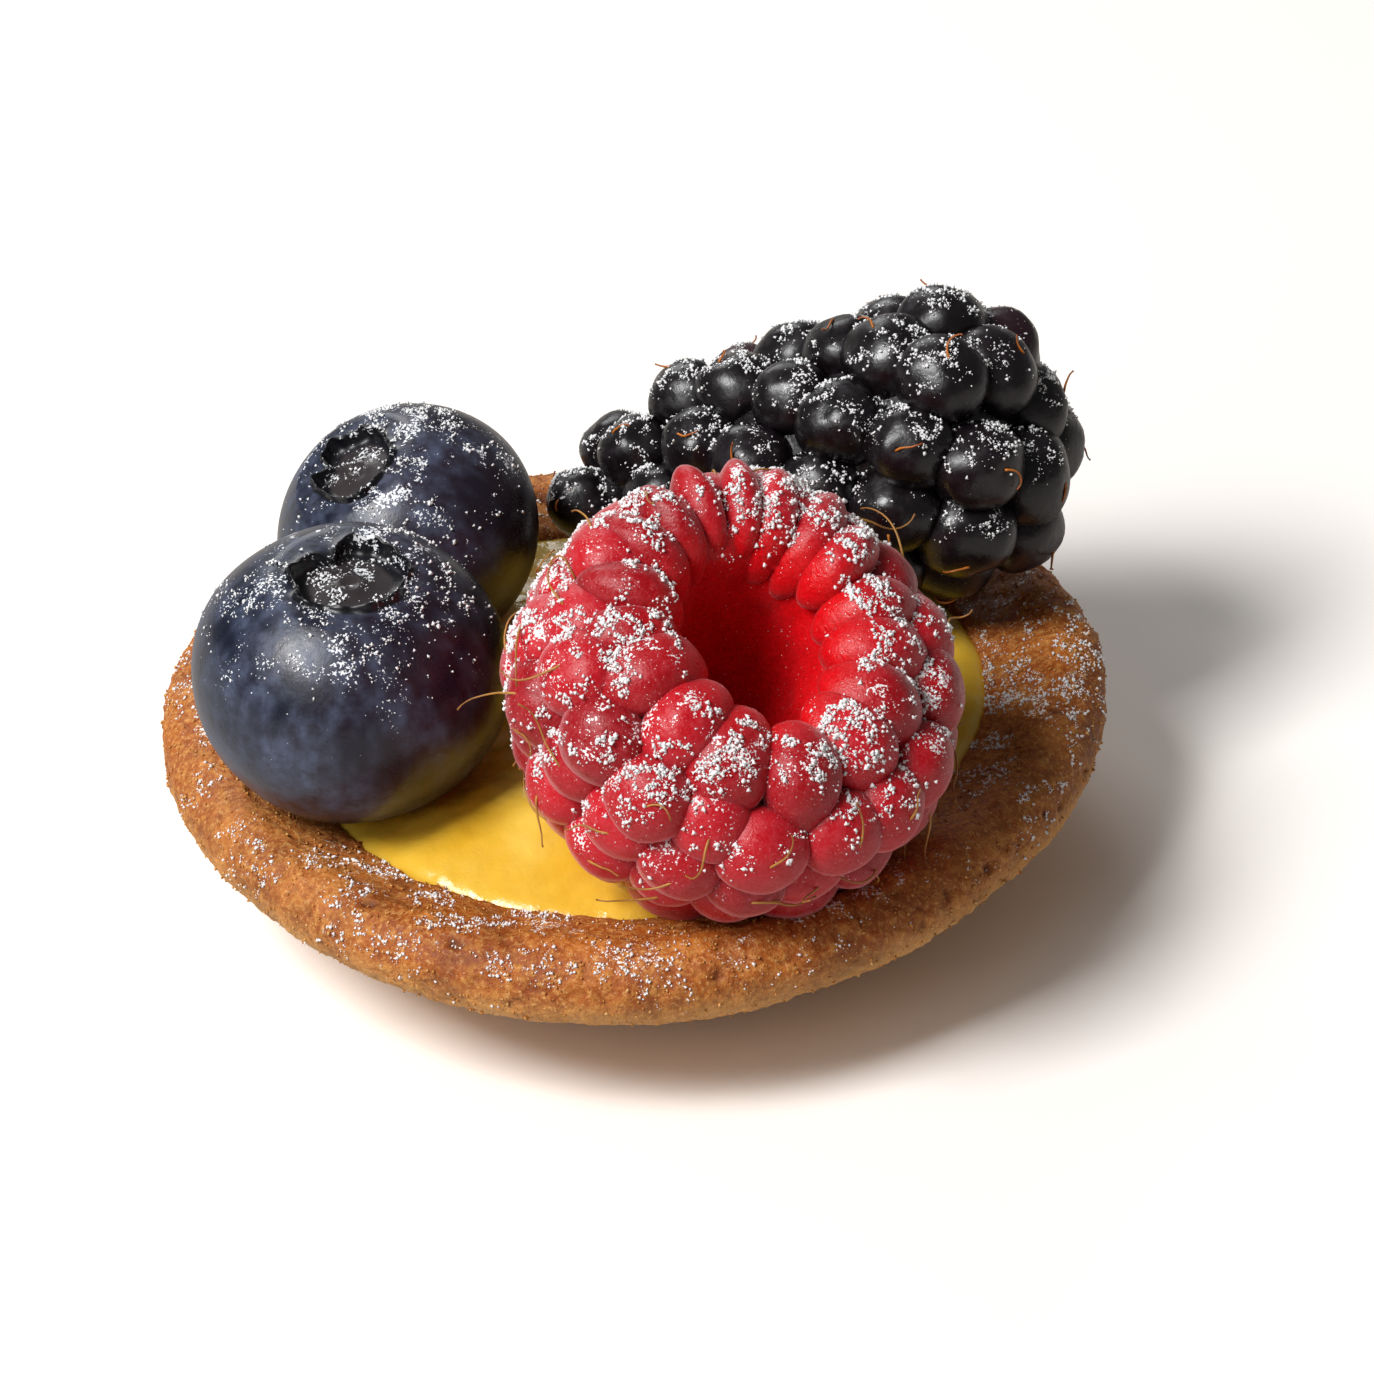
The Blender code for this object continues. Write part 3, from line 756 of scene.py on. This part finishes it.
def raspberry_flesh():
    """Raspberry skin: clear red flesh under fine down, with painted sheen that pales each drupelet where it
    is seen edge on, and painted shade that darkens each drupelet towards its base.
    """
    made, tree, shader = new_material("raspberry_down_and_painted_sheen")
    tint = stored(tree, "tint")
    height = stored(tree, "height")
    hollow = stored(tree, "hollow")
    body = ramp(tree, tint, [(0.0, "#8f0510"), (0.5, "#ad0a17"), (1.0, "#c41322")])
    cells = noise_at(tree, 0.5, 4.0, 0.65)
    body = mixed(tree, spread(tree, cells, 0.45, 0.68, 0.0, 0.22), body, "#d5515c")
    pores = noise_at(tree, 0.16, 3.0, 0.7, 0.9)
    body = mixed(tree, spread(tree, pores, 0.56, 0.68, 0.0, 0.22), body, "#e27a82")
    # Painted shade: each drupelet darkens towards its base, where it meets its neighbours.
    body = mixed(tree, spread(tree, height, -0.1, 0.4, 0.5, 0.0), body, "#7d0812")
    # Painted sheen: the base colour pales to pink where a drupelet is seen edge on, standing in for the light
    # on its fine down.
    down = node(tree, "LayerWeight", inputs={"Blend": 0.3}).outputs["Facing"]
    down_and_painted_sheen = mixed(tree, spread(tree, down, 0.42, 0.88, 0.0, 0.75), body, "#ef9a9f")
    wall = mixed(tree, spread(tree, pores, 0.35, 0.65), "#c4040c", "#e20b16")
    body = mixed(tree, hollow, down_and_painted_sheen, wall)
    dust = sugar_speckle(tree, stored(tree, "sugared"), 0.71)
    body = mixed(tree, dust, body, "#fbf0f0")
    tree.links.new(body, shader.inputs["Base Color"])
    tree.links.new(spread(tree, cells, 0.3, 0.7, 0.22, 0.48), shader.inputs["Roughness"])
    shader.inputs["IOR"].default_value = 1.4
    let_light_in(shader, 0.2, (1.0, 0.15, 0.12), 0.0025)
    shader.inputs["Sheen Weight"].default_value = 0.2
    shader.inputs["Sheen Roughness"].default_value = 0.4
    shader.inputs["Sheen Tint"].default_value = srgb("#ffc9cc")
    under = bumped(tree, cells, 0.5, 0.00014)
    tree.links.new(bumped(tree, pores, 0.5, 0.00006, under), shader.inputs["Normal"])
    return made


def build_raspberry():
    turn = frame_at(RASPBERRY_UP)
    outside = [(0.93 * radius, height) for radius, height, _, _ in RASPBERRY_RINGS[1:-1]]
    ends = np.array([*RASPBERRY_HOLLOW, *outside, (0, RASPBERRY_RINGS[-1][1])])
    profile = [tuple(ends[0])]
    for a, b in zip(ends, ends[1:]):
        profile += [tuple(a + (b - a) * t) for t in (0.25, 0.5, 0.75, 1.0)]
    core, core_faces = turned_core(profile, 120)
    lift = np.array([noise.noise(Vector(p) / 1.5) * 0.3 + noise.noise(Vector(p) / 0.6) * 0.15 for p in core])
    core[:, :2] *= 1 + (lift / np.maximum(np.hypot(core[:, 0], core[:, 1]), 1.5))[:, None]
    in_hollow = np.arange(len(core)) < 120 * (4 * len(RASPBERRY_HOLLOW) - 3)
    core[:, :2] += in_hollow[:, None] * np.array(HOLLOW_OFFSET)
    core_world = core @ turn.T + np.array(RASPBERRY_CENTRE)
    points, faces, height, tint = heap(raspberry_parts, 30, 20, 0.07)
    shift = len(points)
    faces = faces + [tuple(i + shift for i in f) for f in core_faces]
    points = np.vstack([points, core_world])
    piece = new_piece("raspberry_fruit", points, faces)
    local = (points - np.array(RASPBERRY_CENTRE)) @ turn
    radius = np.hypot(local[:, 0] - HOLLOW_OFFSET[0], local[:, 1] - HOLLOW_OFFSET[1])
    deep = np.clip((6.5 - radius) / 1.5, 0, 1) * np.clip((7.7 - local[:, 2]) / 1.9, 0, 1)
    paint(piece, "height", np.r_[height, np.full(len(core), 0.9)])
    paint(piece, "tint", np.r_[tint, np.full(len(core), 0.3)])
    paint(piece, "hollow", deep)
    cloud = np.array([noise.noise(Vector(p) / 2.2) for p in points])
    fall = np.clip(point_normals(piece) @ np.array([-0.2, -0.35, 0.9]), 0, 1)
    paint(piece, "sugared", np.clip(fall * (0.55 + 1.2 * cloud), 0, 1) * (1 - deep))
    return piece


raspberry = build_raspberry()
raspberry.data.materials.append(raspberry_flesh())
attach(raspberry, "root")
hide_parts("raspberry")


# ---------------------------------------------------------------- bramble
# A ripe bramble on its side, tip to the left: tight, glossy, nearly black drupelets round a solid core.
# A few drupelets, picked at random, are still plum coloured.


def bramble_skin():
    """Bramble skin: tight and shiny, black with a hint of plum on a few drupelets, and painted shade that
    darkens each drupelet towards its base.
    """
    made, tree, shader = new_material("bramble_glossy")
    tint = stored(tree, "tint")
    height = stored(tree, "height")
    body = ramp(tree, tint, [(0.0, "#100c0f"), (0.6, "#161014"), (0.85, "#24131a"), (1.0, "#3a141d")])
    # Painted shade: each drupelet darkens towards its base, where it meets its neighbours.
    body = mixed(tree, spread(tree, height, 0.0, 0.5, 0.6, 0.0), body, "#0a0507")
    cloud = noise_at(tree, 0.8, 4.0, 0.6)
    body = mixed(tree, spread(tree, cloud, 0.5, 0.75, 0.0, 0.25), body, "#3c343c")
    dust = sugar_speckle(tree, stored(tree, "sugared"))
    body = mixed(tree, dust, body, "#f0eff0")
    tree.links.new(body, shader.inputs["Base Color"])
    tree.links.new(spread(tree, cloud, 0.3, 0.7, 0.20, 0.42), shader.inputs["Roughness"])
    shader.inputs["IOR"].default_value = 1.48
    tree.links.new(bumped(tree, cloud, 0.35, 0.00015), shader.inputs["Normal"])
    return made


def build_bramble():
    tip, end = Vector(BRAMBLE_TIP), Vector(BRAMBLE_END)
    length = (end - tip).length
    low, high = -BRAMBLE_TIP_CAP, length + BRAMBLE_END_CAP
    ends = [high - (high - low) * (0.5 - 0.5 * math.cos(math.pi * i / 30)) for i in range(31)]
    core, core_faces = turned_core([(bramble_core_radius(along, length), along) for along in ends], 60)
    core_world = core @ frame_at(end - tip).T + np.array(BRAMBLE_TIP)
    points, faces, height, tint = heap(bramble_parts, 32, 22, 0.10)
    faces = faces + [tuple(i + len(points) for i in f) for f in core_faces]
    points = np.vstack([points, core_world])
    piece = new_piece("bramble_fruit", points, faces)
    paint(piece, "height", np.r_[height, np.zeros(len(core))])
    paint(piece, "tint", np.r_[tint**2, np.zeros(len(core))])
    cloud = np.array([noise.noise(Vector(p) / 1.8 + Vector((5, 5, 5))) for p in points])
    fall = np.clip(point_normals(piece) @ np.array([-0.1, -0.25, 0.95]), 0, 1)
    paint(piece, "sugared", np.clip(fall * (0.45 + 1.1 * cloud), 0, 1))
    return piece


bramble = build_bramble()
bramble.data.materials.append(bramble_skin())
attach(bramble, "root")
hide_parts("bramble")


# ---------------------------------------------------------------- hairs
# The dried styles of the flowers: one thin curly hair on many of the drupelets.
# Tan and long on the raspberry, short and orange-brown on the bramble.

HAIR_STEPS = 12
HAIR_SIDES = 6
HAIR_ROOM = 0.025  # share of the tart's size that a hair may reach past it


def hair_points(rng, start, outward, length, curl):
    """A curling line of points from start that leaves along the surface and bends back down to it."""
    outward = Vector(outward).normalized()
    aside = outward.cross(Vector(rng.normal(size=3))).normalized()
    heading = (outward * rng.uniform(0.25, 0.8) + aside).normalized()
    axis = outward.cross(aside)
    place = Vector(start)
    points = [place.copy()]
    for step in range(HAIR_STEPS):
        turn = Matrix.Rotation(curl * (0.3 + 1.2 * step / HAIR_STEPS) / HAIR_STEPS, 3, axis)
        heading = (turn @ heading).normalized()
        axis = (axis + Vector(rng.normal(size=3)) * 0.45).normalized()
        place = place + heading * (length / HAIR_STEPS)
        points.append(place.copy())
    return points


def tube(points, radii):
    """A closed tapered tube through points, as points and faces."""
    rows = []
    side = None
    for i, point in enumerate(points):
        ahead = (points[min(i + 1, len(points) - 1)] - points[max(i - 1, 0)]).normalized()
        side = ahead.orthogonal() if side is None else (side - ahead * side.dot(ahead))
        side = side.normalized()
        other = ahead.cross(side)
        for k in range(HAIR_SIDES):
            a = math.tau * k / HAIR_SIDES
            rows.append(point + (side * math.cos(a) + other * math.sin(a)) * radii[i])
    faces = [tuple(reversed(face)) for face in grid_faces(len(points), HAIR_SIDES)]
    faces.append(tuple(reversed(range(HAIR_SIDES))))
    faces.append(tuple((len(points) - 1) * HAIR_SIDES + k for k in range(HAIR_SIDES)))
    return np.array([tuple(p) for p in rows]), faces


def hair_finish(name, base, tip):
    """A dried plant hair: straw-like, dull, paler towards its tip."""
    made, tree, shader = new_material(name)
    tint = stored(tree, "tint")
    colour = ramp(tree, tint, [(0.0, base), (1.0, tip)])
    flecks = noise_at(tree, 0.3, 2.0)
    colour = mixed(tree, spread(tree, flecks, 0.4, 0.7, 0.0, 0.35), colour, "#5a3412")
    tree.links.new(colour, shader.inputs["Base Color"])
    shader.inputs["Roughness"].default_value = 0.5
    return made


def grow_hairs(name, parts, seed, share, lengths, thickness, finish):
    """One hair on a share of the drupelets; any that would stand clear of the tart is left out."""
    rng = np.random.default_rng(seed)
    low, high = np.array(cad_box[0]) / MM, np.array(cad_box[1]) / MM
    room = (high - low) * HAIR_ROOM
    everything, faces, tints, count = [], [], [], 0
    for part in parts:
        if rng.random() > share:
            continue
        outward = part["axes"][:, 2]
        start = part["centre"] + outward * (part["size"][2] - 0.12)
        points = hair_points(rng, start, outward, rng.uniform(*lengths), rng.uniform(1.4, 4.2))
        line = np.array([tuple(p) for p in points])
        if (line < low - room).any() or (line > high + room).any():
            continue
        radii = [thickness * (1.15 - 0.55 * i / HAIR_STEPS) for i in range(HAIR_STEPS)] + [thickness * 0.9]
        mesh_points, mesh_faces = tube(points, radii)
        everything.append(mesh_points)
        faces += [tuple(i + count for i in f) for f in mesh_faces]
        tints.append(np.repeat(np.linspace(0, 1, len(points)), HAIR_SIDES))
        count += len(mesh_points)
    piece = new_piece(name, np.vstack(everything), faces)
    paint(piece, "tint", np.concatenate(tints))
    piece.data.materials.append(finish)
    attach(piece, "root")
    return piece


grow_hairs(
    "raspberry_hairs", [p for p in raspberry_parts if p["row"] > 0], 12, 0.95, (2.0, 4.0), 0.055,
    hair_finish("dried_style_tan", "#c08a3c", "#9a6424"),
)
grow_hairs(
    "bramble_hairs", bramble_parts, 15, 0.9, (1.0, 1.9), 0.06,
    hair_finish("dried_style_orange", "#d07a26", "#9a4c18"),
)


# ---------------------------------------------------------------- powdered sugar
# Icing sugar sifted over the finished tart. It lies in loose patches on whatever faces up,
# as single grains and small clumps, thickest on the raspberry's crest and on the front of the rim.

SIFTED_FROM = Vector((-0.12, -0.22, 1.0)).normalized()
TRIES_PER_GRAIN = 7
SHELTER_REACH = 0.03  # how far up fruit still keeps sugar off, in metres


def mesh_arrays(obj):
    """Triangle corners and normals of an object, in millimetres."""
    mesh = obj.data
    mesh.calc_loop_triangles()
    points = np.zeros(len(mesh.vertices) * 3)
    mesh.vertices.foreach_get("co", points)
    corners = np.zeros(len(mesh.loop_triangles) * 3, dtype=np.int32)
    mesh.loop_triangles.foreach_get("vertices", corners)
    points, corners = points.reshape(-1, 3) / MM, corners.reshape(-1, 3)
    a, b, c = points[corners[:, 0]], points[corners[:, 1]], points[corners[:, 2]]
    cross = np.cross(b - a, c - a)
    area = np.linalg.norm(cross, axis=1)
    return a, b, c, cross / np.maximum(area, 1e-12)[:, None], area / 2, points, corners


def icing_sugar():
    """Icing sugar: fine white powder, quite matt, with light passing between its grains."""
    made, tree, shader = new_material("icing_sugar")
    grains = noise_at(tree, 0.15, 2.0)
    colour = ramp(tree, grains, [(0.3, "#fafafa"), (0.6, "#ffffff")])
    tree.links.new(colour, shader.inputs["Base Color"])
    shader.inputs["Roughness"].default_value = 0.85
    shader.inputs["IOR"].default_value = 1.5
    let_light_in(shader, 0.2, (1.0, 1.0, 1.0), 0.001)
    return made


GRAIN = np.array([(1, 0, 0), (-0.5, 0.87, 0), (-0.5, -0.87, 0), (0, 0, 1), (0, 0, -1)])
GRAIN_FACES = [(0, 1, 3), (1, 2, 3), (2, 0, 3), (1, 0, 4), (2, 1, 4), (0, 2, 4)]
sugar_finish = icing_sugar()


def spots_on(target, rng, count, weigh):
    """Random places on a piece and the normals there, as many per area as weigh(normals) says."""
    a, b, c, normal, area, _, _ = mesh_arrays(target)
    weight = area * weigh(normal)
    chosen = rng.choice(len(area), size=count, p=weight / weight.sum())
    u, v = rng.random(count), rng.random(count)
    over = u + v > 1
    u[over], v[over] = 1 - u[over], 1 - v[over]
    return a[chosen] + u[:, None] * (b - a)[chosen] + v[:, None] * (c - a)[chosen], normal[chosen]


def grains(name, spots, normals, rng, sizes, finish, slot):
    """One piece of small uneven grains, each half sunk in the surface at its spot."""
    points, faces = [], []
    for spot, up in zip(spots, normals):
        size = sizes[0] + (sizes[1] - sizes[0]) * rng.random() ** 2.6
        shape = GRAIN * rng.uniform(0.6, 1.3, size=(5, 1)) * size
        spin = np.array(Matrix.Rotation(rng.uniform(0, math.tau), 3, Vector(rng.normal(size=3)).normalized()))
        faces += [tuple(i + 5 * len(points) for i in f) for f in GRAIN_FACES]
        points.append(shape @ spin.T + spot + up * size * 0.5)
    piece = new_piece(name, np.vstack(points), faces)
    piece.data.materials.append(finish)
    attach(piece, "root")
    return piece


def sift(name, target, wanted, amount, seed, sizes, clump_mm, slot, fill):
    """Scatters sugar over a piece, where amount(points, normals) says so and nothing is overhead."""
    rng = np.random.default_rng(seed)
    tries = wanted * TRIES_PER_GRAIN
    spots, normals = spots_on(target, rng, tries, lambda n: np.clip(n @ np.array(SIFTED_FROM), 0, 1))
    cloud = np.array([noise.noise(Vector(p) / clump_mm + Vector((seed, 1, 2))) for p in spots])
    clump = np.array([noise.noise(Vector(p) / (clump_mm * 0.28) + Vector((3, seed, 2))) for p in spots])
    likely = amount(spots, normals) * np.clip(0.45 + 2.2 * cloud, 0, 1) * np.clip(0.1 + 4.0 * clump, 0.02, 1)
    kept = np.nonzero(rng.random(len(spots)) < likely * fill)[0]
    clear = []
    for i in kept:
        fall = SIFTED_FROM + Vector(rng.normal(size=3)) * 0.2
        if open_sky.ray_cast(Vector(spots[i] + normals[i] * 0.06) * MM, fall, SHELTER_REACH)[0] is None:
            clear.append(i)
    clear = clear[:wanted]
    return grains(name, spots[clear], normals[clear], rng, sizes, sugar_finish, slot)


def shelter_of(pieces):
    points, faces = [], []
    for obj in pieces:
        arrays = mesh_arrays(obj)
        faces += [tuple(int(i) + len(points) for i in f) for f in arrays[6]]
        points += [tuple(p * MM) for p in arrays[5]]
    return BVHTree.FromPolygons(points, faces)


fruit = [raspberry, bramble, *blueberries]
open_sky = shelter_of(fruit)


def on_raspberry(spots, normals):
    turn = frame_at(RASPBERRY_UP)
    local = (spots - np.array(RASPBERRY_CENTRE)) @ turn
    radius = np.hypot(local[:, 0] - HOLLOW_OFFSET[0], local[:, 1] - HOLLOW_OFFSET[1])
    crest = np.exp(-(((radius - 6.8) / 2.0) ** 2)) * np.clip((local[:, 2] - 2.5) / 3, 0, 1)
    inside = np.clip((5.4 - radius) / 1.0, 0, 1)
    flank = 0.35 * np.clip((spots[:, 2] - 12) / 8, 0, 1)
    return np.clip(0.25 + crest + flank, 0, 1) * (1 - 0.99 * inside)


def on_bramble(spots, normals):
    return np.clip(0.15 + 1.1 * (normals[:, 2] - 0.2), 0, 1)


def on_blueberry(spots, normals):
    return np.clip(0.12 + 0.9 * (normals[:, 2] - 0.45), 0, 1)


def on_case(spots, normals):
    angle = np.arctan2(spots[:, 1], spots[:, 0])
    edge = np.hypot(spots[:, 0], spots[:, 1]) / hand_pressed(angle)
    inner = 0.5 + 0.8 * np.exp(-(((edge - 18.3) / 1.2) ** 2))
    front = np.exp(-(((angle + 1.72) / 0.40) ** 2)) * inner
    left = 0.9 * np.exp(-(((angle + 2.62) / 0.26) ** 2)) * inner
    right = 0.9 * np.exp(-(((angle - 0.02) / 0.42) ** 2))
    return np.clip(0.14 + front + left + right, 0, 1) * np.clip((spots[:, 2] - 6.6) / 1.2, 0, 1)


sift("sugar_on_raspberry", raspberry, 26000, on_raspberry, 21, (0.035, 0.16), 2.6, "raspberry_flesh", 3.0)
sift("sugar_on_bramble", bramble, 15000, on_bramble, 22, (0.035, 0.13), 2.0, "bramble_flesh", 1.6)
sift("sugar_on_case", crust, 12000, on_case, 23, (0.04, 0.13), 2.2, "baked_shortcrust", 5.0)
for number, berry in enumerate(blueberries):
    name = "sugar_on_" + berry.name
    sift(name, berry, 5000, on_blueberry, 24 + number, (0.04, 0.13), 2.4, "blueberry_skin", 0.45)


def crumb_finish():
    """Pastry crumbs: the same golden bake as the case, each with its own shade."""
    made, tree, shader = new_material("shortcrust_crumbs")
    shade = noise_at(tree, 0.4, 1.0)
    colour = ramp(tree, shade, [(0.35, "#b06c28"), (0.5, "#cf8e42"), (0.65, "#e6b470")])
    tree.links.new(colour, shader.inputs["Base Color"])
    shader.inputs["Roughness"].default_value = 0.55
    return made


crumb_rng = np.random.default_rng(31)
crumb_spots, crumb_normals = spots_on(crust, crumb_rng, 9000, lambda n: np.clip(1.1 + n[:, 2], 0.1, 1))
showing = (np.hypot(crumb_spots[:, 0], crumb_spots[:, 1]) > 16.5) & (crumb_spots[:, 2] > 1.5)
grains(
    "pastry_crumbs", crumb_spots[showing], crumb_normals[showing], crumb_rng, (0.04, 0.13),
    crumb_finish(), "baked_shortcrust",
)


# ---------------------------------------------------------------- table, light and camera
# A plain white table under a large soft lamp on the left, with white light from all round.

TABLE_HALF = 0.9
TABLE_LIT = (0.62, 0.58, 0.54, 1)  # the colour its light has on the tart
TABLE_SEEN = (1.09, 1.04, 0.99, 1)
ROOM_LIGHT = 0.12
LAMP_DISTANCE = 0.60


def table_white():
    made, tree, shader = new_material("table_white_matt")
    seen = node(tree, "LightPath").outputs["Is Camera Ray"]
    tree.links.new(mixed(tree, seen, TABLE_LIT, TABLE_SEEN), shader.inputs["Base Color"])
    shader.inputs["Roughness"].default_value = 0.9
    return made


corners = [(x * TABLE_HALF, y * TABLE_HALF, 0) for x, y in ((-1, -1), (1, -1), (1, 1), (-1, 1))]
table_mesh = bpy.data.meshes.new("table")
table_mesh.from_pydata(corners, [], [(0, 1, 2, 3)])
table = bpy.data.objects.new("table", table_mesh)
bpy.context.scene.collection.objects.link(table)
table.data.materials.append(table_white())

world = bpy.data.worlds.new("white_room")
bpy.context.scene.world = world
world.use_nodes = True
world.node_tree.nodes["Background"].inputs["Color"].default_value = (1, 1, 1, 1)
world.node_tree.nodes["Background"].inputs["Strength"].default_value = ROOM_LIGHT


def soft_lamp(name, direction, size, power):
    """A square lamp that shines on the tart from a direction."""
    lamp = bpy.data.lights.new(name, "AREA")
    lamp.shape = "SQUARE"
    lamp.size = size
    lamp.energy = power
    obj = bpy.data.objects.new(name, lamp)
    bpy.context.scene.collection.objects.link(obj)
    away = Vector(direction).normalized()
    obj.location = Vector((0, 0, 0.01)) + away * LAMP_DISTANCE
    obj.rotation_euler = away.to_track_quat("Z", "Y").to_euler()


soft_lamp("key_lamp", (-0.52, -0.34, 0.79), 0.22, 3.9)
soft_lamp("front_lamp", (-0.52, -0.66, 0.54), 0.30, 0.5)
soft_lamp("back_lamp", (-0.25, 0.83, 0.50), 0.28, 1.0)

CAMERA_RISE_DEG = 34.0
CAMERA_ROLL_DEG = 3.3
CAMERA_DISTANCE = 0.370
AIM = Vector((0.0, 0.0, 0.0083))
FRAME_WIDTH = 0.06785  # width of the view at the tart
SHIFT_RIGHT, SHIFT_UP = 0.00264, 0.00143
SENSOR_WIDTH = 36

rise, roll = math.radians(CAMERA_RISE_DEG), math.radians(CAMERA_ROLL_DEG)
back = Vector((0, -math.cos(rise), math.sin(rise)))
level_right = Vector((1, 0, 0))
level_up = back.cross(level_right)
right = level_right * math.cos(roll) - level_up * math.sin(roll)
up = level_right * math.sin(roll) + level_up * math.cos(roll)
camera = bpy.data.objects.new("camera", bpy.data.cameras.new("camera"))
bpy.context.scene.collection.objects.link(camera)
camera.data.sensor_width = SENSOR_WIDTH
camera.data.lens = SENSOR_WIDTH * CAMERA_DISTANCE / FRAME_WIDTH
camera.data.clip_end = 10
place = Matrix((right, up, back)).transposed().to_4x4()
place.translation = AIM + back * CAMERA_DISTANCE + right * SHIFT_RIGHT + up * SHIFT_UP
camera.matrix_world = place
bpy.context.scene.camera = camera

bpy.context.scene.view_settings.view_transform = "Standard"

bpy.context.view_layer.update()
